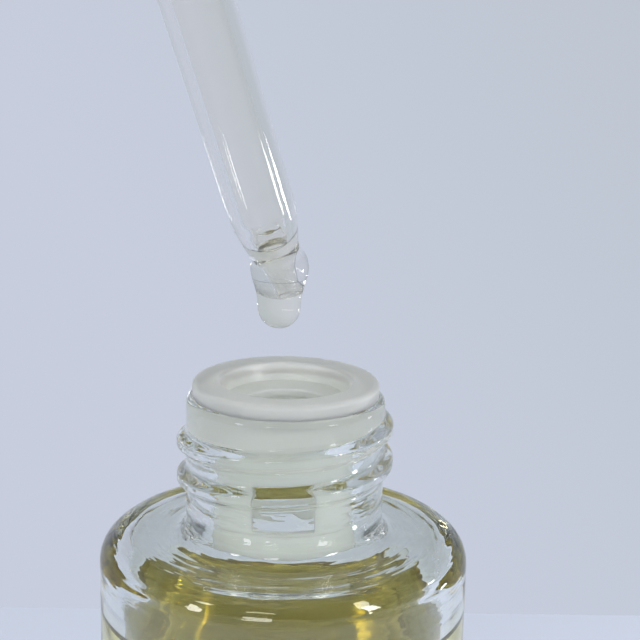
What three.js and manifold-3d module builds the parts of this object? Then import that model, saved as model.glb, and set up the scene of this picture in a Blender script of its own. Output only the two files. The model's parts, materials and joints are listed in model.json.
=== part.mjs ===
// A 30 ml dropper bottle with its dropper held above the open neck, a drop hanging from the tip.
// Millimetres, +Z up. The origin is the centre of the bottle's underside.
import * as THREE from "three";
import { mergeVertices } from "three/addons/utils/BufferGeometryUtils.js";
import Module from "manifold-3d";

const wasm = await Module();
wasm.setup();

// Bottle
const bodyDiameter = 33.6;
const bodyHeight = 57; // underside to the flat of the shoulder
const bodyWall = 2.1;
const shoulderWall = 1.4;
const baseWall = 5;
const shoulderRound = 2.5;
const baseRound = 2;
const innerShoulderRound = 1.2;
const innerBaseRound = 4;

// Neck, a 20 mm screw finish
const neckDiameter = 17.9; // at the root of the thread
const threadDepth = 0.85;
const neckHeight = 12.8; // shoulder to rim
const neckBore = 12.8;
const neckFillet = 1.4;
const boreRound = 4; // where the bore opens under the shoulder
const rimRound = 0.55;

// Insert pressed into the neck
const flangeSetback = 0.55; // radial, rim's outer edge to the flange's edge
const flangeThickness = 1.4;
const flangeRound = 0.5;
const plugClearance = 0.2; // radial, plug to bore
const beadClearance = 0.05; // radial, sealing bead to bore
const beadHeight = 1.2;
const beadDepths = [3.2, 6.2]; // below the flange's top
const plugWall = 0.8;
const mouthFlare = 0.5; // radial, plug's inside to the mouth's edge
const mouthRound = 0.4;
const wiperDepth = 2.1; // flange's top to the wiper's lip
const wiperClearance = 1.05; // radial, wiper's lip to pipette
const wiperThickness = 0.8;
const wiperSlope = 0.5;
const skirtStep = 12.2; // below the flange's top
const skirtBottom = 14.8;
const skirtNarrowing = 0.15;
const windowTop = 8.2; // below the flange's top
const windowHeight = 3.8;
const windowWidth = 4.9;
const windowCount = 4;

// Pipette
const pipetteDiameter = 5.9;
const pipetteWall = 1;
const ballDiameter = 5.2;
const orificeDiameter = 1.4;
const tipNeckWaist = 0.4; // radial, ball to the narrowest part
const tipNeckHeight = 2.9; // ball's centre to the narrowest part
const tipTaperEnd = 5.8; // ball's centre to the full diameter
const floorClearance = 4; // tip to the bottle's floor with the cap closed
const pipetteGrip = 9.5; // length held in the bulb

// Bulb
const bulbFlangeSetback = 0.2; // radial, inside the insert's flange that it seals on
const bulbFlangeThickness = 1.8;
const bulbNeckDiameter = 9.2;
const bulbDiameter = 13.2;
const bulbTopDiameter = 12;
const bulbWall = 1.4;
const bulbLength = 28; // above the cap's top
const bulbShoulderRise = 1.4;
const bulbShoulderRound = 0.8;
const bulbEdgeRound = 0.3;
const gripClearance = 0.3; // radial, bulb to pipette

// Cap
const capWall = 1.95;
const capTopWall = 1.6;
const capRound = 1;
const capEdgeRound = 0.4;
const threadClearance = 0.25; // radial, cap to the thread's crest
const shoulderGap = 0.8; // cap's edge to the shoulder when closed
const runningGap = 0.3; // cap to bulb

// Drop of liquid on the tip
const dropDiameter = 3.9;
const dropLength = 5.3; // ball's centre to the drop's lowest point
const wettingGap = 0.3; // drop to ball

// Where the dropper is held: its ball tip's centre above the neck, and the lean of its axis
const heldHeight = 10.1; // insert's top to the ball's centre
const heldAside = new THREE.Vector2(-0.7, 0.5);
const leanAngle = 28.5;
const leanHeading = -121; // the way the bulb leans, about +Z from +X

const roundSides = 48;
const tubeSides = 28;
const arcStep = Math.PI / 9;

const neckRadius = neckDiameter / 2;
const boreRadius = neckBore / 2;
const rimHeight = bodyHeight + neckHeight;
const flangeRadius = neckRadius - flangeSetback;
const insertTop = rimHeight + flangeThickness;

// The points of an outline whose corners are [radius, height, round].
// A corner with a round is replaced by a tangent arc of that radius.
function outline(corners) {
  const at = ([x, y]) => new THREE.Vector2(x, y);
  return corners.flatMap((corner, i) => {
    const here = at(corner);
    const round = corner[2];
    if (!round) return [here];
    const back = at(corners[i - 1]).sub(here).normalize();
    const on = at(corners[i + 1]).sub(here).normalize();
    const half = Math.acos(back.dot(on)) / 2;
    const centre = back.clone().add(on).setLength(round / Math.sin(half)).add(here);
    const start = back.clone().multiplyScalar(round / Math.tan(half)).add(here).sub(centre);
    const turn = (Math.PI - 2 * half) * Math.sign(on.cross(back));
    const steps = Math.ceil(Math.abs(turn) / arcStep);
    return Array.from({ length: steps + 1 }, (_, k) =>
      start.clone().rotateAround(new THREE.Vector2(), (turn * k) / steps).add(centre),
    );
  });
}

// Points on an arc about [0, centreHeight], with angles measured from +radius towards +height.
function arc(radius, centreHeight, from, to) {
  const steps = Math.ceil(Math.abs(to - from) / arcStep);
  return Array.from({ length: steps + 1 }, (_, k) => {
    const angle = from + ((to - from) * k) / steps;
    return new THREE.Vector2(radius * Math.cos(angle), centreHeight + radius * Math.sin(angle));
  });
}

// An outline turned about +Z. It runs up the outer side and down the inner side.
function turned(points, sides) {
  return new THREE.LatheGeometry(points, sides).rotateX(Math.PI / 2);
}

function closed(points) {
  return [...points, points[0]];
}

function solidOf(geometry) {
  const bare = geometry.clone();
  bare.deleteAttribute("normal");
  bare.deleteAttribute("uv");
  const merged = mergeVertices(bare, 1e-4);
  return new wasm.Manifold(
    new wasm.Mesh({
      numProp: 3,
      vertProperties: merged.attributes.position.array,
      triVerts: new Uint32Array(merged.index.array),
    }),
  );
}

function geometryOf(solid) {
  const mesh = solid.getMesh();
  return new THREE.BufferGeometry()
    .setAttribute("position", new THREE.BufferAttribute(mesh.vertProperties, 3))
    .setIndex(new THREE.BufferAttribute(mesh.triVerts, 1));
}

function piece(name, geometry, look) {
  const mesh = new THREE.Mesh(geometry, new THREE.MeshStandardMaterial(look));
  mesh.name = name;
  return mesh;
}

const clearGlass = { color: 0xe6edea, roughness: 0.03, transparent: true, opacity: 0.35 };
const milkyPlastic = { color: 0xdfe5dc, roughness: 0.35 };
const whitePlastic = { color: 0xf0f0ec, roughness: 0.4 };
const whiteRubber = { color: 0xe9e8e2, roughness: 0.7 };
const paleLiquid = { color: 0xece9cf, roughness: 0.02, transparent: true, opacity: 0.5 };

function bottle() {
  const bodyRadius = bodyDiameter / 2;
  const innerRadius = bodyRadius - bodyWall;
  const ceiling = bodyHeight - shoulderWall;
  const points = outline([
    [0, 0],
    [bodyRadius, 0, baseRound],
    [bodyRadius, bodyHeight, shoulderRound],
    [neckRadius, bodyHeight, neckFillet],
    [neckRadius, rimHeight, rimRound],
    [boreRadius, rimHeight, rimRound],
    [boreRadius, ceiling, boreRound],
    [innerRadius, ceiling, innerShoulderRound],
    [innerRadius, baseWall, innerBaseRound],
    [0, baseWall],
  ]);
  return piece("bottle", turned(points, roundSides), clearGlass);
}

// A low ring round the plug that seals against the bore.
function sealingBead(depth, plugRadius) {
  const middle = insertTop - depth;
  return [
    [plugRadius, middle + beadHeight / 2],
    [boreRadius - beadClearance, middle],
    [plugRadius, middle - beadHeight / 2],
  ];
}

function neckInsert() {
  const plugRadius = boreRadius - plugClearance;
  const plugInner = plugRadius - plugWall;
  const wiperRadius = pipetteDiameter / 2 + wiperClearance;
  const under = (depth) => insertTop - depth;
  const lip = under(wiperDepth);
  const points = outline([
    [wiperRadius, lip],
    [wiperRadius, lip - wiperThickness],
    [plugInner, lip - wiperThickness],
    [plugInner, under(skirtBottom)],
    [plugRadius - skirtNarrowing, under(skirtBottom)],
    [plugRadius - skirtNarrowing, under(skirtStep) - skirtNarrowing],
    [plugRadius, under(skirtStep)],
    ...beadDepths.toReversed().flatMap((depth) => sealingBead(depth, plugRadius).toReversed()),
    [plugRadius, rimHeight],
    [flangeRadius, rimHeight],
    [flangeRadius, insertTop, flangeRound],
    [plugInner + mouthFlare, insertTop, mouthRound],
    [plugInner, lip + wiperSlope],
  ]);
  const body = solidOf(turned(closed(points), roundSides));
  const opening = new THREE.BoxGeometry(neckBore, windowWidth, windowHeight);
  let pierced = body;
  for (let turn = 0; turn < windowCount / 2; turn++) {
    const cut = opening.clone().rotateZ((turn * 2 * Math.PI) / windowCount);
    cut.translate(0, 0, under(windowTop + windowHeight / 2));
    pierced = pierced.subtract(solidOf(cut));
  }
  return piece("neck_insert", geometryOf(pierced), milkyPlastic);
}

// The dropper's pieces are turned about its own axis, with the ball tip's centre at the origin.
const tipReach = rimHeight + flangeThickness - baseWall - floorClearance; // seal to the tip's end
const seal = tipReach - ballDiameter / 2; // height of the bulb's sealing face above the ball's centre
const capTop = seal + bulbFlangeThickness + runningGap + capTopWall;

function pipette() {
  const outerRadius = pipetteDiameter / 2;
  const innerRadius = outerRadius - pipetteWall;
  const ballRadius = ballDiameter / 2;
  const orificeRadius = orificeDiameter / 2;
  const waist = ballRadius - tipNeckWaist;
  const top = seal + pipetteGrip;
  const ballStart = -Math.acos(orificeRadius / ballRadius);
  const ballEnd = Math.acos(waist / ballRadius) * 0.9;
  const points = [
    ...arc(ballRadius, 0, ballStart, ballEnd),
    ...outline([
      [waist, (tipNeckHeight + ballRadius * Math.sin(ballEnd)) / 2],
      [waist, tipNeckHeight, 1.5],
      [outerRadius, tipTaperEnd, 2],
      [outerRadius, top, pipetteWall / 2.2],
      [innerRadius, top, pipetteWall / 2.2],
      [innerRadius, tipTaperEnd + 0.6, 2],
      [orificeRadius, tipNeckHeight, 1],
      [orificeRadius, 0],
    ]),
  ];
  return piece("pipette", turned(closed(points), tubeSides), clearGlass);
}

function bulb() {
  const bore = pipetteDiameter / 2 + gripClearance;
  const shoulder = capTop + runningGap;
  const crown = capTop + bulbLength - bulbTopDiameter / 2;
  const flange = flangeRadius - bulbFlangeSetback;
  const points = [
    ...outline([
      [bore, seal],
      [flange, seal, bulbEdgeRound],
      [flange, seal + bulbFlangeThickness, bulbEdgeRound],
      [bulbNeckDiameter / 2, seal + bulbFlangeThickness],
      [bulbNeckDiameter / 2, shoulder],
      [bulbDiameter / 2, shoulder + bulbShoulderRise, bulbShoulderRound],
      [bulbTopDiameter / 2, crown],
    ]),
    ...arc(bulbTopDiameter / 2, crown, 0, Math.PI / 2).slice(1),
    ...arc(bulbTopDiameter / 2 - bulbWall, crown, Math.PI / 2, 0),
    new THREE.Vector2(bulbDiameter / 2 - bulbWall, seal + pipetteGrip + bulbWall),
    new THREE.Vector2(bore, seal + pipetteGrip),
  ];
  return piece("bulb", turned(closed(points), tubeSides), whiteRubber);
}

function cap() {
  const edge = seal - (insertTop - bodyHeight - shoulderGap);
  const inner = neckRadius + threadDepth + threadClearance;
  const ceiling = capTop - capTopWall;
  const hole = bulbNeckDiameter / 2 + runningGap;
  const points = outline([
    [inner, edge],
    [inner + capWall, edge, capEdgeRound],
    [inner + capWall, capTop, capRound],
    [hole, capTop],
    [hole, ceiling],
    [inner, ceiling],
  ]);
  return piece("cap", turned(closed(points), roundSides), whitePlastic);
}

function hangingDrop() {
  const radius = dropDiameter / 2;
  const dish = ballDiameter / 2 + wettingGap;
  const dishEdge = -Math.acos(radius / dish);
  const brim = dish * Math.sin(dishEdge);
  const depth = dropLength + brim;
  const belly = arc(1, 0, -Math.PI / 2, 0).map((p) => new THREE.Vector2(radius * p.x, brim + depth * p.y));
  const dished = arc(dish, 0, dishEdge, -Math.PI / 2);
  const points = [...belly, ...dished.slice(1)];
  return piece("hanging_drop", turned(points, tubeSides), paleLiquid);
}

const tip = new THREE.Vector3(heldAside.x, heldAside.y, insertTop + heldHeight);
const lean = THREE.MathUtils.degToRad(leanAngle);
const heading = THREE.MathUtils.degToRad(leanHeading);

const dropper = new THREE.Group();
dropper.add(pipette(), bulb(), cap());
dropper.position.copy(tip);
dropper.rotation.set(0, lean, heading, "ZYX");

const drop = hangingDrop();
drop.position.copy(tip);

const dropperBottle = new THREE.Group();
dropperBottle.add(bottle(), neckInsert(), drop, dropper);

export default dropperBottle;
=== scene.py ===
import json
import math

import bmesh
import bpy
from mathutils import Matrix, Vector


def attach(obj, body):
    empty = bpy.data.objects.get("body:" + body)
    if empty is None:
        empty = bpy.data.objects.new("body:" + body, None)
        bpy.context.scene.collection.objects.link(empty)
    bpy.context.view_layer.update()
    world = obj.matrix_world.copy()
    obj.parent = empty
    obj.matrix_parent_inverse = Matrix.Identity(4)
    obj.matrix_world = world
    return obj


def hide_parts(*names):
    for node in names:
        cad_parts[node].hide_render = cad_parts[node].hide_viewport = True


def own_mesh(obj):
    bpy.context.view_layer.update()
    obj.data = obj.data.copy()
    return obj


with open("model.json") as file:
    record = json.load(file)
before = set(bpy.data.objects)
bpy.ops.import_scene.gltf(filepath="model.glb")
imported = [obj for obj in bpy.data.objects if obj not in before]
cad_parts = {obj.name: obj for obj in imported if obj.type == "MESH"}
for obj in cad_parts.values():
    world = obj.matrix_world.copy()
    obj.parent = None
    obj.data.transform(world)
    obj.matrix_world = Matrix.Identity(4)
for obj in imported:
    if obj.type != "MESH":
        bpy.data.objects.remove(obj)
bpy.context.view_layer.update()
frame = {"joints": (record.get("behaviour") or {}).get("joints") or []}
joints = {joint["name"]: joint for joint in frame["joints"]}
mm = 0.001  # sizes below are in millimetres and Blender works in metres
find = {  # how closely points match a place, and the shortest upright edge, in millimetres
    "ring": 0.004, "wall": 0.01, "merge": 0.0005, "upright": 5,
}


# Small tools that every piece uses.

def linear(hexColour):
    parts = [int(hexColour[i:i + 2], 16) / 255 for i in (1, 3, 5)]
    return [p / 12.92 if p <= 0.04045 else ((p + 0.055) / 1.055) ** 2.4 for p in parts] + [1]


def addNode(tree, kind, settings={}, values={}, links={}):
    node = tree.nodes.new(kind)
    for name, value in settings.items():
        setattr(node, name, value)
    for name, value in values.items():
        node.inputs[name].default_value = value
    for name, source in links.items():
        tree.links.new(source, node.inputs[name])
    return node


def newMaterial(name):
    material = bpy.data.materials.new(name)
    material.use_nodes = True
    material.node_tree.nodes.clear()
    return material, material.node_tree


def pickOnly(piece):
    bpy.ops.object.select_all(action="DESELECT")
    bpy.context.view_layer.objects.active = piece
    piece.select_set(True)


def selectEdges(piece, wanted):
    mesh = bmesh.from_edit_mesh(piece.data)
    bpy.ops.mesh.select_all(action="DESELECT")
    bpy.ops.mesh.select_mode(type="EDGE")
    for edge in mesh.edges:
        ends = [(math.hypot(v.co.x, v.co.y) / mm, v.co.z / mm) for v in edge.verts]
        if wanted(*ends):
            edge.select_set(True)
    bmesh.update_edit_mesh(piece.data)


def onRing(radius, height):
    def wanted(*ends):
        return all(abs(r - radius) < find["ring"] and abs(z - height) < find["ring"]
                   for r, z in ends)
    return wanted


def uprightAt(radius):
    def wanted(a, b):
        return (all(abs(r - radius) < find["ring"] for r, z in (a, b))
                and abs(a[1] - b[1]) > find["upright"])
    return wanted


# A turned piece is pulled up from one circle: each corner is [radius, height] or
# [radius, height, round], and a corner with a round is bevelled to that radius.
def turnPiece(name, corners, sides, ring=False, roundSteps=7):
    bpy.ops.object.select_all(action="DESELECT")
    radius, height = corners[0][:2]
    bpy.ops.mesh.primitive_circle_add(vertices=sides, radius=radius * mm, location=(0, 0, 0),
                                      fill_type="NOTHING" if ring else "NGON")
    piece = bpy.context.active_object
    piece.name = name
    bpy.ops.object.mode_set(mode="EDIT")
    bpy.ops.transform.translate(value=(0, 0, height * mm))
    for corner in corners[1:] + ([corners[0]] if ring else []):
        bpy.ops.mesh.extrude_region_move(
            TRANSFORM_OT_translate={"value": (0, 0, (corner[1] - height) * mm)})
        scale = corner[0] / radius
        bpy.ops.transform.resize(value=(scale, scale, 1), center_override=(0, 0, 0))
        radius, height = corner[:2]
    bpy.ops.mesh.select_all(action="SELECT")
    bpy.ops.mesh.remove_doubles(threshold=find["merge"] * mm)
    bpy.ops.mesh.normals_make_consistent(inside=False)
    for i, corner in enumerate(corners):
        if len(corner) < 3:
            continue
        before, here = Vector(corners[i - 1][:2]), Vector(corner[:2])
        after = Vector(corners[(i + 1) % len(corners)][:2])
        turn = (here - before).angle(after - here)
        selectEdges(piece, onRing(*corner[:2]))
        bpy.ops.mesh.bevel(offset=corner[2] * math.tan(turn / 2) * mm, segments=roundSteps,
                           offset_type="OFFSET", affect="EDGES")
    bpy.ops.object.mode_set(mode="OBJECT")
    return piece


def placePiece(piece, place):
    pickOnly(piece)
    piece.matrix_world = place
    bpy.ops.object.transform_apply(location=True, rotation=True, scale=True)


def finishPiece(piece, material, body, nodes=(), smoothAngle=40):
    pickOnly(piece)
    bpy.ops.object.shade_smooth_by_angle(angle=math.radians(smoothAngle))
    weighted = piece.modifiers.new("evenNormals", "WEIGHTED_NORMAL")
    weighted.keep_sharp = True
    bpy.ops.object.modifier_apply(modifier=weighted.name)
    piece.data.materials.clear()
    piece.data.materials.append(material)
    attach(piece, body)
    if nodes:
        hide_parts(*nodes)
    print("made", piece.name, len(piece.data.polygons), "faces")


# Camera: place in millimetres, angles in degrees, heading clockwise from +Y, pitch downwards.
camera = {
    "place": (1.304, -126.6, 107.57), "pitch": 13.694, "heading": 0.743, "roll": 1.089,
    "lens": 82.57, "sensor": 36, "near": 0.005, "far": 20,
}


def makeCamera():
    data = bpy.data.cameras.new("camera")
    data.lens = camera["lens"]
    data.sensor_width = camera["sensor"]
    data.clip_start, data.clip_end = camera["near"], camera["far"]  # metres
    holder = bpy.data.objects.new("camera", data)
    bpy.context.scene.collection.objects.link(holder)
    pitch, heading, roll = (math.radians(camera[k]) for k in ("pitch", "heading", "roll"))
    ahead = Vector((math.sin(heading) * math.cos(pitch), math.cos(heading) * math.cos(pitch),
                    -math.sin(pitch)))
    right = ahead.cross(Vector((0, 0, 1))).normalized()
    up = right.cross(ahead)
    across = right * math.cos(roll) + up * math.sin(roll)
    upward = up * math.cos(roll) - right * math.sin(roll)
    turned = Matrix((across, upward, -ahead)).transposed().to_4x4()
    holder.matrix_world = Matrix.Translation(Vector(camera["place"]) * mm) @ turned
    bpy.context.scene.camera = holder


# Pale floor, a backdrop that darkens a little to the upper right, and the room round about.
# A fade is a slope and an offset along one axis.
studio = {
    "backdrop": "#c7cddd", "backdropFar": "#bcc4ce", "fadeAcross": (1.6, 0.0),
    "fadeUp": (1.2, 0.42),
    "floor": "#d1d6e3", "floorBack": 105, "floorFront": -700, "floorSide": 700, "floorDrop": 0.02,
    "roomSide": "#f4f7fb", "roomTop": "#d4dae1", "roomStrength": 1.0, "glassMakeUp": 3.2,
    "roomDark": "#666b6e", "darkInFront": (-1.4, 0.25), "darkAbove": (2.5, -0.2),
}


def makeWorld():
    world = bpy.data.worlds.new("studio")
    bpy.context.scene.world = world
    world.use_nodes = True
    tree = world.node_tree
    tree.nodes.clear()
    direction = addNode(tree, "ShaderNodeTexCoord")
    axes = addNode(tree, "ShaderNodeSeparateXYZ", links={"Vector": direction.outputs["Generated"]})
    slant = addNode(tree, "ShaderNodeMath", {"operation": "MULTIPLY_ADD"},
                    dict(enumerate(studio["fadeAcross"], 1)), {0: axes.outputs["X"]})
    rise = addNode(tree, "ShaderNodeMath", {"operation": "MULTIPLY_ADD"},
                   dict(enumerate(studio["fadeUp"], 1)), {0: axes.outputs["Z"]})
    blend = addNode(tree, "ShaderNodeMath", {"operation": "ADD", "use_clamp": True}, {},
                    {0: slant.outputs[0], 1: rise.outputs[0]})
    drop = addNode(tree, "ShaderNodeMix", {"data_type": "RGBA"},
                   {"A": linear(studio["backdrop"]), "B": linear(studio["backdropFar"])},
                   {"Factor": blend.outputs[0]})
    # glass reflects a dimmer room in front of the object and overhead
    front = addNode(tree, "ShaderNodeMath", {"operation": "MULTIPLY_ADD", "use_clamp": True},
                    dict(enumerate(studio["darkInFront"], 1)), {0: axes.outputs["Y"]})
    above = addNode(tree, "ShaderNodeMath", {"operation": "MULTIPLY_ADD", "use_clamp": True},
                    dict(enumerate(studio["darkAbove"], 1)), {0: axes.outputs["Z"]})
    away = addNode(tree, "ShaderNodeMath", {"operation": "MAXIMUM"}, {},
                   {0: front.outputs[0], 1: above.outputs[0]})
    around = addNode(tree, "ShaderNodeMix", {"data_type": "RGBA"},
                     {"B": linear(studio["roomDark"])},
                     {"Factor": away.outputs[0], "A": drop.outputs["Result"]})
    # what is seen directly or through glass, with no reflection on the way, is the backdrop
    path = addNode(tree, "ShaderNodeLightPath")
    direct = addNode(tree, "ShaderNodeMath", {"operation": "LESS_THAN"},
                     {1: 0.5}, {0: path.outputs["Glossy Depth"]})
    backing = addNode(tree, "ShaderNodeMix", {"data_type": "RGBA"}, {},
                      {"Factor": direct.outputs[0], "A": around.outputs["Result"],
                       "B": drop.outputs["Result"]})
    seen = addNode(tree, "ShaderNodeBackground", {}, {"Strength": 1.0},
                   {"Color": backing.outputs["Result"]})
    # the room lights the object most from round about
    height = addNode(tree, "ShaderNodeMath", {"operation": "MAXIMUM"}, {1: 0.0},
                     {0: axes.outputs["Z"]})
    room = addNode(tree, "ShaderNodeMix", {"data_type": "RGBA"},
                   {"A": linear(studio["roomSide"]), "B": linear(studio["roomTop"])},
                   {"Factor": height.outputs[0]})
    ambient = addNode(tree, "ShaderNodeBackground", {}, {"Strength": studio["roomStrength"]},
                      {"Color": room.outputs["Result"]})
    # lamps can't light what is behind glass, so the room makes up for them there
    throughGlass = addNode(tree, "ShaderNodeBackground", {},
                           {"Strength": studio["roomStrength"] * studio["glassMakeUp"]},
                           {"Color": room.outputs["Result"]})
    scattered = addNode(tree, "ShaderNodeMixShader", {}, {},
                        {0: path.outputs["Is Transmission Ray"], 1: ambient.outputs[0],
                         2: throughGlass.outputs[0]})
    # camera, gloss and glass rays show the backdrop, until a matt surface scatters them
    glossOrCamera = addNode(tree, "ShaderNodeMath", {"operation": "MAXIMUM"}, {},
                            {0: path.outputs["Is Camera Ray"], 1: path.outputs["Is Glossy Ray"]})
    straight = addNode(tree, "ShaderNodeMath", {"operation": "MAXIMUM"}, {},
                       {0: glossOrCamera.outputs[0], 1: path.outputs["Is Transmission Ray"]})
    unscattered = addNode(tree, "ShaderNodeMath", {"operation": "LESS_THAN"},
                          {1: 0.5}, {0: path.outputs["Diffuse Depth"]})
    showsDrop = addNode(tree, "ShaderNodeMath", {"operation": "MULTIPLY"}, {},
                        {0: straight.outputs[0], 1: unscattered.outputs[0]})
    mixed = addNode(tree, "ShaderNodeMixShader", {}, {},
                    {0: showsDrop.outputs[0], 1: scattered.outputs[0], 2: seen.outputs[0]})
    addNode(tree, "ShaderNodeOutputWorld", {}, {}, {"Surface": mixed.outputs[0]})


# The floor is smooth pale card: matt, with hardly any grain.
def makeFloor():
    bpy.ops.object.select_all(action="DESELECT")
    bpy.ops.mesh.primitive_plane_add(size=1, location=(0, 0, 0))
    floor = bpy.context.active_object
    floor.name = "floor"
    depth = studio["floorBack"] - studio["floorFront"]
    floor.scale = (2 * studio["floorSide"] * mm, depth * mm, 1)
    floor.location = (0, (studio["floorBack"] + studio["floorFront"]) / 2 * mm,
                      -studio["floorDrop"] * mm)
    bpy.ops.object.transform_apply(location=True, rotation=True, scale=True)
    material, tree = newMaterial("matt card")
    coords = addNode(tree, "ShaderNodeTexCoord")
    fibres = addNode(tree, "ShaderNodeTexNoise", {}, {"Scale": 900, "Detail": 4},
                     {"Vector": coords.outputs["Object"]})  # 1 mm, coarser than real fibres
    bump = addNode(tree, "ShaderNodeBump", {}, {"Strength": 0.08, "Distance": 0.00005},
                   {"Height": fibres.outputs["Fac"]})
    shader = addNode(tree, "ShaderNodeBsdfPrincipled", {},
                     {"Base Color": linear(studio["floor"]), "Roughness": 0.85},
                     {"Normal": bump.outputs["Normal"]})
    addNode(tree, "ShaderNodeOutputMaterial", {}, {}, {"Surface": shader.outputs[0]})
    floor.data.materials.append(material)


lamps = {  # place, aim and size in millimetres; power in watts
    "window": {"place": (330, -210, 260), "aim": (0, 0, 80), "size": (70, 130), "power": 0.6},
    "leftPanel": {"place": (-270, -180, 235), "aim": (0, 0, 60), "size": (60, 70), "power": 0.18},
    "lowPanel": {"place": (154, 44, 56), "aim": (0, 0, 95), "size": (22, 14), "power": 0.021},
    "frontPanel": {"place": (-90, -350, 240), "aim": (0, 0, 60), "size": (110, 50), "power": 0.15},
}


def makeLamps():
    for name, lamp in lamps.items():
        data = bpy.data.lights.new(name, "AREA")
        data.shape = "RECTANGLE"
        data.size, data.size_y = (side * mm for side in lamp["size"])
        data.energy = lamp["power"]
        holder = bpy.data.objects.new(name, data)
        bpy.context.scene.collection.objects.link(holder)
        place, aim = Vector(lamp["place"]) * mm, Vector(lamp["aim"]) * mm
        holder.location = place
        holder.rotation_euler = (place - aim).to_track_quat("Z", "Y").to_euler()
        holder.visible_camera = False


makeCamera()
makeWorld()
makeFloor()
makeLamps()
print("stage is set")


# Flint glass blown in a mould and fire-polished: clear and glossy, with a slow waviness that
# bends what is seen through it, and a faint green where the wall is seen edge on.
def makeFlintGlass():
    material, tree = newMaterial("blown flint glass")
    coords = addNode(tree, "ShaderNodeTexCoord")
    waves = addNode(tree, "ShaderNodeTexNoise", {}, {"Scale": 160, "Detail": 1, "Roughness": 0.4},
                    {"Vector": coords.outputs["Object"]})  # 6 mm waves
    bump = addNode(tree, "ShaderNodeBump", {}, {"Strength": 0.5, "Distance": 0.0003},
                   {"Height": waves.outputs["Fac"]})
    # the mould leaves fine flow lines round the shoulder and neck, about 1 mm apart and 10 mm
    # long, so the noise is stretched by letting one radian round the axis count as 1.8 mm
    axes = addNode(tree, "ShaderNodeSeparateXYZ", links={"Vector": coords.outputs["Object"]})
    angle = addNode(tree, "ShaderNodeMath", {"operation": "ARCTAN2"}, {},
                    {0: axes.outputs["Y"], 1: axes.outputs["X"]})
    along = addNode(tree, "ShaderNodeMath", {"operation": "MULTIPLY"}, {1: 1.8 * mm},
                    {0: angle.outputs[0]})
    level = addNode(tree, "ShaderNodeVectorMath", {"operation": "MULTIPLY"}, {1: (1, 1, 0)},
                    {0: coords.outputs["Object"]})
    reach = addNode(tree, "ShaderNodeVectorMath", {"operation": "LENGTH"}, {},
                    {0: level.outputs[0]})
    wrapped = addNode(tree, "ShaderNodeCombineXYZ", {}, {},
                      {"X": reach.outputs["Value"], "Y": along.outputs[0], "Z": axes.outputs["Z"]})
    lines = addNode(tree, "ShaderNodeTexNoise", {}, {"Scale": 700, "Detail": 2, "Roughness": 0.55},
                    {"Vector": wrapped.outputs[0]})
    upper = addNode(tree, "ShaderNodeMapRange", {},
                    {"From Min": 50.5 * mm, "From Max": 55.5 * mm}, {"Value": axes.outputs["Z"]})
    flow = addNode(tree, "ShaderNodeBump", {}, {"Distance": 0.00014},
                   {"Strength": upper.outputs[0], "Height": lines.outputs["Fac"],
                    "Normal": bump.outputs["Normal"]})
    shader = addNode(tree, "ShaderNodeBsdfPrincipled", {},
                     {"Base Color": linear("#f9fcf9"), "Roughness": 0.0, "IOR": 1.52,
                      "Transmission Weight": 1.0}, {"Normal": flow.outputs["Normal"]})
    addNode(tree, "ShaderNodeOutputMaterial", {}, {}, {"Surface": shader.outputs[0]})
    return material


# Borosilicate tube drawn and then flame-worked at the tip: clearer and straighter than the bottle.
def makeTubeGlass():
    material, tree = newMaterial("drawn borosilicate tube")
    coords = addNode(tree, "ShaderNodeTexCoord")
    waves = addNode(tree, "ShaderNodeTexNoise", {}, {"Scale": 120, "Detail": 1},
                    {"Vector": coords.outputs["Object"]})  # 8 mm waves
    bump = addNode(tree, "ShaderNodeBump", {}, {"Strength": 0.1, "Distance": 0.0001},
                   {"Height": waves.outputs["Fac"]})
    shader = addNode(tree, "ShaderNodeBsdfPrincipled", {},
                     {"Base Color": linear("#faf9f5"), "Roughness": 0.0, "IOR": 1.473,
                      "Transmission Weight": 1.0}, {"Normal": bump.outputs["Normal"]})
    addNode(tree, "ShaderNodeOutputMaterial", {}, {}, {"Surface": shader.outputs[0]})
    return material


# Natural low-density polyethylene, injection moulded: milky, lets light through, softly glossy.
def makeNaturalLdpe():
    material, tree = newMaterial("moulded natural LDPE")
    coords = addNode(tree, "ShaderNodeTexCoord")
    grain = addNode(tree, "ShaderNodeTexNoise", {}, {"Scale": 1400, "Detail": 3},
                    {"Vector": coords.outputs["Object"]})  # 0.7 mm, coarser than a mould's grain
    bump = addNode(tree, "ShaderNodeBump", {}, {"Strength": 0.12, "Distance": 0.00002},
                   {"Height": grain.outputs["Fac"]})
    shader = addNode(tree, "ShaderNodeBsdfPrincipled", {},
                     {"Base Color": linear("#e6e6e0"), "Roughness": 0.36, "IOR": 1.51,
                      "Subsurface Weight": 1.0, "Subsurface Radius": (1.0, 1.0, 0.9),
                      "Subsurface Scale": 0.0025, "Transmission Weight": 0.5},
                     {"Normal": bump.outputs["Normal"]})
    addNode(tree, "ShaderNodeOutputMaterial", {}, {}, {"Surface": shader.outputs[0]})
    return material


# Golden plant-oil serum: clear, its colour deepening with the length of oil looked through.
def makeOil():
    material, tree = newMaterial("golden oil")
    shader = addNode(tree, "ShaderNodeBsdfPrincipled", {},
                     {"Base Color": linear("#ffffff"), "Roughness": 0.0, "IOR": 1.44,
                      "Transmission Weight": 1.0})
    depth = addNode(tree, "ShaderNodeVolumeAbsorption", {},
                    {"Color": linear("#f8ec80"), "Density": 46.0})
    addNode(tree, "ShaderNodeOutputMaterial", {}, {},
            {"Surface": shader.outputs[0], "Volume": depth.outputs[0]})
    return material


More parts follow.
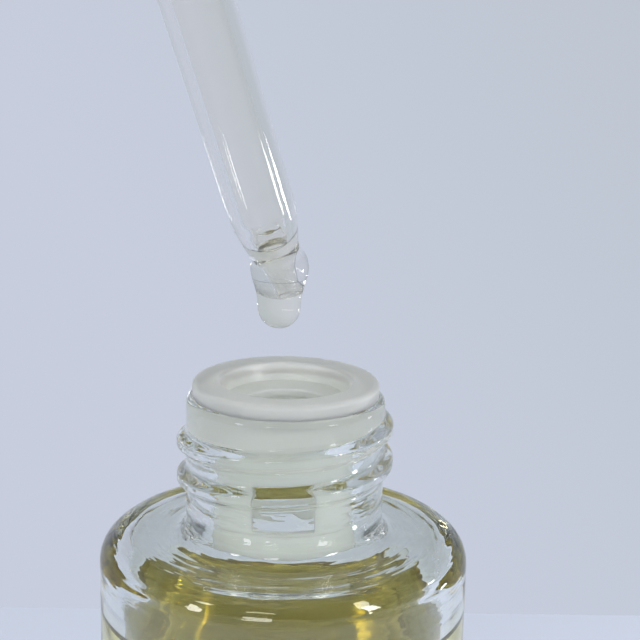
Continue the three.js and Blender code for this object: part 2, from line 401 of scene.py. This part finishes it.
# White polypropylene, injection moulded with a fine satin face.
def makeWhitePp():
    material, tree = newMaterial("moulded white PP")
    coords = addNode(tree, "ShaderNodeTexCoord")
    grain = addNode(tree, "ShaderNodeTexNoise", {}, {"Scale": 2600, "Detail": 2},
                    {"Vector": coords.outputs["Object"]})  # 0.4 mm, coarser than a mould's grain
    bump = addNode(tree, "ShaderNodeBump", {}, {"Strength": 0.15, "Distance": 0.00002},
                   {"Height": grain.outputs["Fac"]})
    shader = addNode(tree, "ShaderNodeBsdfPrincipled", {},
                     {"Base Color": linear("#e9e9e6"), "Roughness": 0.38, "IOR": 1.49,
                      "Subsurface Weight": 0.1, "Subsurface Radius": (1, 1, 1),
                      "Subsurface Scale": 0.0006}, {"Normal": bump.outputs["Normal"]})
    addNode(tree, "ShaderNodeOutputMaterial", {}, {}, {"Surface": shader.outputs[0]})
    return material


# Off-white nitrile rubber, compression moulded: matt and a little powdery.
def makeRubber():
    material, tree = newMaterial("moulded nitrile rubber")
    coords = addNode(tree, "ShaderNodeTexCoord")
    grain = addNode(tree, "ShaderNodeTexNoise", {}, {"Scale": 3200, "Detail": 3},
                    {"Vector": coords.outputs["Object"]})  # 0.3 mm, coarser than real powder
    bump = addNode(tree, "ShaderNodeBump", {}, {"Strength": 0.3, "Distance": 0.00003},
                   {"Height": grain.outputs["Fac"]})
    shader = addNode(tree, "ShaderNodeBsdfPrincipled", {},
                     {"Base Color": linear("#deddd8"), "Roughness": 0.62,
                      "Sheen Weight": 0.15, "Sheen Roughness": 0.5},
                     {"Normal": bump.outputs["Normal"]})
    addNode(tree, "ShaderNodeOutputMaterial", {}, {}, {"Surface": shader.outputs[0]})
    return material


flintGlass = makeFlintGlass()
tubeGlass = makeTubeGlass()
naturalLdpe = makeNaturalLdpe()
oil = makeOil()
whitePp = makeWhitePp()
rubber = makeRubber()
print("materials are ready")


# Bottle, with its screw thread raised from the neck.
bottle = {
    "radius": 16.8, "height": 57, "wall": 2.1, "shoulderWall": 1.4, "baseWall": 5,
    "shoulderRound": 2.5, "baseRound": 2, "innerShoulderRound": 1.2, "innerBaseRound": 4,
    "neckRadius": 8.95, "neckHeight": 12.8, "bore": 6.4, "neckFillet": 1.4,
    "boreRound": 4, "rimRound": 0.55, "outerFlat": 3, "innerFlat": 6, "sides": 160,
}
thread = {
    "depth": 0.85, "pitch": 3.3, "crestWidth": 0.5, "flank": 0.95,
    "startAngle": 40, "startDepth": 3.58, "turns": 1.85, "fade": 0.16, "rings": 84,
    "datum": 71.2,  # the insert's top, from which the start is measured down
}


# How far the thread stands out at an angle, in degrees round from +X, and at a depth below the
# insert's top. The angle is unwound over the turns, and the crest fades in and out at its ends.
def threadPush(angle, below):
    push = 0
    around = (thread["startAngle"] - angle) % 360
    for lap in range(math.ceil(thread["turns"]) + 1):
        unwound = (around + 360 * lap) / 360
        if unwound > thread["turns"]:
            break
        crest = thread["startDepth"] + unwound * thread["pitch"]
        off = abs(below - crest) - thread["crestWidth"] / 2
        side = min(1, max(0, 1 - off / thread["flank"]))
        ends = min(1, unwound / thread["fade"], (thread["turns"] - unwound) / thread["fade"])
        push = max(push, side * side * (3 - 2 * side) * math.sin(max(0, ends) * math.pi / 2))
    return push * thread["depth"]


# The tall faces at one radius are cut into rings, and the points between two heights follow the
# thread, outwards by lift times its depth.
def raiseThread(piece, radius, low, high, rings, lift, datum):
    pickOnly(piece)
    bpy.ops.object.mode_set(mode="EDIT")
    selectEdges(piece, uprightAt(radius))
    bpy.ops.mesh.subdivide_edgering(number_cuts=rings, interpolation="LINEAR")
    mesh = bmesh.from_edit_mesh(piece.data)
    for vert in mesh.verts:
        reach, height = math.hypot(vert.co.x, vert.co.y) / mm, vert.co.z / mm
        if abs(reach - radius) < find["wall"] and low < height < high:
            angle = math.degrees(math.atan2(vert.co.y, vert.co.x))
            grown = 1 + lift * threadPush(angle, datum - height) / reach
            vert.co.x *= grown
            vert.co.y *= grown
    bmesh.update_edit_mesh(piece.data)
    bpy.ops.object.mode_set(mode="OBJECT")


def makeBottle():
    b = bottle
    rim, ceiling = b["height"] + b["neckHeight"], b["height"] - b["shoulderWall"]
    inner = b["radius"] - b["wall"]
    piece = turnPiece("bottle_glass", [
        [b["radius"] - b["outerFlat"], 0],
        [b["radius"], 0, b["baseRound"]],
        [b["radius"], b["height"], b["shoulderRound"]],
        [b["neckRadius"], b["height"], b["neckFillet"]],
        [b["neckRadius"], rim, b["rimRound"]],
        [b["bore"], rim, b["rimRound"]],
        [b["bore"], ceiling, b["boreRound"]],
        [inner, ceiling, b["innerShoulderRound"]],
        [inner, b["baseWall"], b["innerBaseRound"]],
        [inner - b["innerFlat"], b["baseWall"]],
    ], b["sides"])
    low, high = b["height"] + b["neckFillet"], rim - b["rimRound"]
    raiseThread(piece, b["neckRadius"], low - find["wall"], high + find["wall"],
                thread["rings"], 1, thread["datum"])
    finishPiece(piece, flintGlass, "bottle", ["bottle"])


makeBottle()


# Insert pressed into the neck. Depths are measured down from its top.
insert = {
    "top": 71.2, "flange": 8.4, "flangeThickness": 1.4, "flangeRound": 0.5,
    "plug": 6.44, "plugInner": 5.4, "mouthFlare": 0.5, "mouthRound": 0.4,
    "lipDepth": 2.1, "lip": 4.0, "lipThickness": 0.8, "lipSlope": 0.5,
    "snugDepth": 5.2, "snugLead": 0.4, "skirt": 6.2, "skirtStep": 12.2, "skirtEnd": 14.8,
    "skirtNarrowing": 0.15, "edgeRound": 0.2, "seatRound": 0.15,
    "windows": 4, "windowTop": 8.2, "windowBottom": 12, "windowWidth": 4.9, "sawLength": 14,
    "sides": 144,
}


def makeInsert():
    i = insert
    top = i["top"]
    lipTop, lipFoot = top - i["lipDepth"], top - i["lipDepth"] - i["lipThickness"]
    step, end = top - i["skirtStep"], top - i["skirtEnd"]
    narrow = i["skirtNarrowing"]
    piece = turnPiece("insert", [
        [i["lip"], lipTop, i["edgeRound"]],
        [i["lip"], lipFoot, i["edgeRound"]],
        [i["plugInner"], lipFoot],
        [i["plugInner"], step],
        [i["plugInner"] - narrow, step - narrow],
        [i["plugInner"] - narrow, end, i["edgeRound"]],
        [i["skirt"] - narrow, end, i["edgeRound"]],
        [i["skirt"] - narrow, step - narrow],
        [i["skirt"], step],
        [i["skirt"], top - i["snugDepth"] - i["snugLead"]],
        [i["plug"], top - i["snugDepth"]],
        [i["plug"], top - i["flangeThickness"]],
        [i["flange"], top - i["flangeThickness"], i["seatRound"]],
        [i["flange"], top, i["flangeRound"]],
        [i["plugInner"] + i["mouthFlare"], top, i["mouthRound"]],
        [i["plugInner"], lipTop + i["lipSlope"]],
    ], i["sides"], ring=True, roundSteps=5)

    # each pass of a square bar cuts two windows, one on each side
    tall = i["windowBottom"] - i["windowTop"]
    middle = top - i["windowTop"] - tall / 2
    for turn in range(i["windows"] // 2):
        bpy.ops.object.select_all(action="DESELECT")
        bpy.ops.mesh.primitive_cube_add(size=1, location=(0, 0, middle * mm))
        saw = bpy.context.active_object
        saw.scale = (i["sawLength"] * mm, i["windowWidth"] * mm, tall * mm)
        saw.rotation_euler = (0, 0, math.radians(turn * 360 / i["windows"]))
        bpy.context.view_layer.update()
        cut = piece.modifiers.new("window", "BOOLEAN")
        cut.operation, cut.object, cut.solver = "DIFFERENCE", saw, "EXACT"
        bpy.context.view_layer.objects.active = piece
        bpy.ops.object.modifier_apply(modifier=cut.name)
        bpy.data.objects.remove(saw)
    finishPiece(piece, naturalLdpe, "bottle", ["neck_insert"], 35)


makeInsert()


# Liquid in the bottle, climbing a little where it meets the wall.
filling = {
    "level": 49, "overlap": 0.04, "meniscus": 0.9, "reach": 1.6, "flat": 6, "sides": 160,
    "climb": (0, 0.08, 0.17, 0.28, 0.4, 0.55, 0.75, 1),
}


def makeFilling():
    b, f = bottle, filling
    edge = b["radius"] - b["wall"] + f["overlap"]
    floor = b["baseWall"] - f["overlap"]
    climb = [[edge - f["meniscus"] * f["reach"] * t, f["level"] + f["meniscus"] * (1 - t) ** 3]
             for t in f["climb"]]
    piece = turnPiece("oil_filling", [
        [edge - f["flat"], floor],
        [edge, floor, b["innerBaseRound"]],
        *climb,
        [edge - f["flat"], f["level"]],
    ], f["sides"])
    finishPiece(piece, oil, "bottle", smoothAngle=60)


makeFilling()


# Pipette, held above the neck. Heights are measured from the ball's centre, along the tube.
pipette = {
    "radius": 2.95, "wall": 1.0, "ball": 2.6, "ballSteps": 22, "ballReach": 0.9, "orifice": 0.7,
    "neck": 2.2, "neckHeight": 1.75, "neckRound": 0.6, "neckBore": 1.15, "boreRound": 1.5,
    "boreEnd": -1.2, "taperEnd": 5.6, "boreTaperEnd": 6.2, "taperRound": 2, "length": 69.1,
    "endRound": 0.45, "sides": 96,
}
tip = Vector(joints["cap_turn"]["pos_m"])  # the ball's centre
axis = Vector(joints["cap_turn"]["axis"]).normalized()


def dropperPlace():
    lean = math.acos(axis.z)
    heading = math.atan2(axis.y, axis.x)
    return (Matrix.Translation(tip) @ Matrix.Rotation(heading, 4, "Z")
            @ Matrix.Rotation(lean, 4, "Y"))


def makePipette():
    p = pipette
    inner = p["radius"] - p["wall"]
    start = -math.acos(p["orifice"] / p["ball"])
    end = math.acos(p["neck"] / p["ball"]) * p["ballReach"]
    turns = [start + (end - start) * k / p["ballSteps"] for k in range(p["ballSteps"] + 1)]
    piece = turnPiece("pipette_glass", [
        *[[p["ball"] * math.cos(t), p["ball"] * math.sin(t)] for t in turns],
        [p["neck"], p["neckHeight"], p["neckRound"]],
        [p["radius"], p["taperEnd"], p["taperRound"]],
        [p["radius"], p["length"], p["endRound"]],
        [inner, p["length"], p["endRound"]],
        [inner, p["boreTaperEnd"], p["taperRound"]],
        [p["neckBore"], p["neckHeight"], p["boreRound"]],
        [p["orifice"], p["boreEnd"]],
    ], p["sides"], ring=True)
    placePiece(piece, dropperPlace())
    finishPiece(piece, tubeGlass, "dropper", ["pipette"])


makePipette()


# Drop on the tip. It hangs plumb while the pipette leans, and wets the underside of the ball.
drop = {
    "radius": 1.93, "centre": -3.55, "bite": 0.04, "brim": -0.9, "sides": 96,
    "flare": [[1.97, -2.9], [2.08, -2.2], [2.27, -1.5], [2.45, -0.88]],
    "pole": 88, "bellySteps": 15, "cupSteps": 10,
}


def makeDrop():
    d = drop
    dish = pipette["ball"] - d["bite"]
    pole, brim = math.radians(d["pole"]), math.asin(-d["brim"] / dish)
    bellyTurns = [pole * (k / d["bellySteps"] - 1) for k in range(d["bellySteps"] + 1)]
    belly = [[d["radius"] * math.cos(t), d["centre"] + d["radius"] * math.sin(t)]
             for t in bellyTurns]
    cupTurns = [brim + (pole - brim) * k / d["cupSteps"] for k in range(d["cupSteps"] + 1)]
    cup = [[dish * math.cos(t), -dish * math.sin(t)] for t in cupTurns]
    piece = turnPiece("hanging_oil_drop", [*belly, *d["flare"], *cup], d["sides"])
    placePiece(piece, Matrix.Translation(tip))
    finishPiece(piece, oil, "drop", ["hanging_drop"])


makeDrop()


# Oil left in the tip's bore, with a hollow surface.
column = {
    "top": 3.5, "sag": 0.6, "overlap": 0.04, "pole": 0.02, "lead": 0.1, "sides": 72,
    "hollow": (0.15, 0.35, 0.6, 0.8, 0.98),
}


def makeColumn():
    p, c = pipette, column
    bore, throat = p["orifice"] + c["overlap"], p["neckBore"] + c["overlap"]
    wide = p["radius"] - p["wall"] + c["overlap"]
    rise = (c["top"] - p["neckHeight"]) / (p["boreTaperEnd"] - p["neckHeight"])
    edge = throat + (wide - throat) * rise
    hollow = [[edge * (1 - t), c["top"] - c["sag"] * (1 - (1 - t) ** 2)] for t in c["hollow"]]
    piece = turnPiece("oil_in_tip", [
        [c["pole"], -p["ball"] - c["pole"]],
        [bore, c["lead"] - p["ball"]],
        [bore, p["boreEnd"]],
        [throat, p["neckHeight"], p["boreRound"]],
        [edge, c["top"]],
        *hollow,
    ], c["sides"])
    placePiece(piece, dropperPlace())
    finishPiece(piece, oil, "dropper")


makeColumn()


# Cap, with grip ribs outside and the matching thread inside. Heights as on the pipette.
seal = 59.6  # the bulb's sealing face above the ball's centre, along the dropper
cap = {
    "radius": 12, "ribRoot": 11.65, "wallInside": 10.05, "edge": 46.2, "top": 63.3, "topWall": 1.6,
    "hole": 4.9, "topRound": 1.0, "edgeRound": 0.4, "rimRound": 0.3, "bandRound": 0.15,
    "ceilingRound": 0.6, "bandHeight": 1.5, "ribTop": 1.25, "ribs": 84, "ribTaper": 0.09,
    "threadLift": 0.8, "threadRings": 60, "threadLow": 0.5, "threadHigh": 0.7,
}


def makeCap():
    c = cap
    ceiling = c["top"] - c["topWall"]
    low, high = c["edge"] + c["bandHeight"], c["top"] - c["ribTop"]
    step = c["radius"] - c["ribRoot"]
    piece = turnPiece("screw_cap", [
        [c["wallInside"], c["edge"], c["rimRound"]],
        [c["radius"], c["edge"], c["edgeRound"]],
        [c["radius"], low, c["bandRound"]],
        [c["ribRoot"], low + step],
        [c["ribRoot"], high - step],
        [c["radius"], high, c["bandRound"]],
        [c["radius"], c["top"], c["topRound"]],
        [c["hole"], c["top"], c["rimRound"]],
        [c["hole"], ceiling, c["rimRound"]],
        [c["wallInside"], ceiling, c["ceilingRound"]],
    ], 2 * c["ribs"], ring=True, roundSteps=4)

    # every other strip of the recessed band is drawn out into a rib
    pickOnly(piece)
    bpy.ops.object.mode_set(mode="EDIT")
    bpy.ops.mesh.select_all(action="DESELECT")
    bpy.ops.mesh.select_mode(type="FACE")
    mesh = bmesh.from_edit_mesh(piece.data)
    for face in mesh.faces:
        middle = face.calc_center_median() / mm
        strip = math.floor(math.atan2(middle.y, middle.x) / math.pi * c["ribs"])
        tall = max(v.co.z for v in face.verts) - min(v.co.z for v in face.verts)
        if tall > (high - low - 3 * step) * mm and face.normal.dot(middle) > 0 and strip % 2:
            face.select_set(True)
    bmesh.update_edit_mesh(piece.data)
    bpy.ops.mesh.inset(use_individual=True, thickness=c["ribTaper"] * mm, depth=step * mm)
    bpy.ops.object.mode_set(mode="OBJECT")

    # the inner thread is half a pitch below the neck's, when the cap is screwed on
    raiseThread(piece, c["wallInside"], c["edge"] + c["threadLow"], ceiling - c["threadHigh"],
                c["threadRings"], -c["threadLift"], seal - thread["pitch"] / 2)
    placePiece(piece, dropperPlace())
    finishPiece(piece, whitePp, "cap", ["cap"], 30)


makeCap()


# Rubber bulb: a collar that seals and grips the tube, and the hollow part that is pressed.
bulb = {
    "flange": 8.2, "flangeThickness": 1.8, "edgeRound": 0.3, "neck": 4.6, "neckRound": 0.5,
    "grip": 2.98, "gripRound": 0.15, "gripLength": 9.5, "shoulder": 63.6, "shoulderRise": 1.4,
    "shoulderRound": 0.8, "radius": 6.6, "topRadius": 6.0, "crown": 85.3, "domeSteps": 14,
    "pole": 0.02, "wall": 1.4, "overlap": 0.2, "sides": 128, "pressedTo": 0.75,
}


def makeCollar():
    b = bulb
    flangeTop, gripEnd = seal + b["flangeThickness"], seal + b["gripLength"]
    piece = turnPiece("bulb_collar", [
        [b["grip"], seal, b["gripRound"]],
        [b["flange"], seal, b["edgeRound"]],
        [b["flange"], flangeTop, b["edgeRound"]],
        [b["neck"], flangeTop, b["neckRound"]],
        [b["neck"], gripEnd, b["edgeRound"]],
        [b["grip"], gripEnd, b["edgeRound"]],
    ], b["sides"], ring=True, roundSteps=5)
    placePiece(piece, dropperPlace())
    finishPiece(piece, rubber, "dropper", ["bulb"])


def dome(radius):
    b = bulb
    turns = [math.pi / 2 * k / b["domeSteps"] for k in range(b["domeSteps"])]
    return [*[[radius * math.cos(t), b["crown"] + radius * math.sin(t)] for t in turns],
            [b["pole"], b["crown"] + radius]]


def makeHollow():
    b = bulb
    gripEnd = seal + b["gripLength"]
    inner = b["neck"] - b["overlap"]
    slope = b["shoulderRise"] / (b["radius"] - b["neck"])
    piece = turnPiece("bulb_hollow", [
        [inner, b["shoulder"] - slope * b["overlap"]],
        [b["radius"], b["shoulder"] + b["shoulderRise"], b["shoulderRound"]],
        *dome(b["topRadius"]),
        *reversed(dome(b["topRadius"] - b["wall"])),
        [b["radius"] - b["wall"], gripEnd + b["wall"]],
        [inner, gripEnd],
    ], b["sides"], ring=True)
    placePiece(piece, dropperPlace())
    finishPiece(piece, rubber, "dropper", ["bulb"])
    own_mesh(piece)


makeCollar()
makeHollow()


bpy.context.scene.view_settings.view_transform = "Standard"
# light crosses many glass and liquid surfaces here before it reaches the eye
bpy.context.scene.cycles.max_bounces = 40
bpy.context.scene.cycles.transmission_bounces = 40
bpy.context.scene.cycles.glossy_bounces = 24
print("dropper bottle is finished")
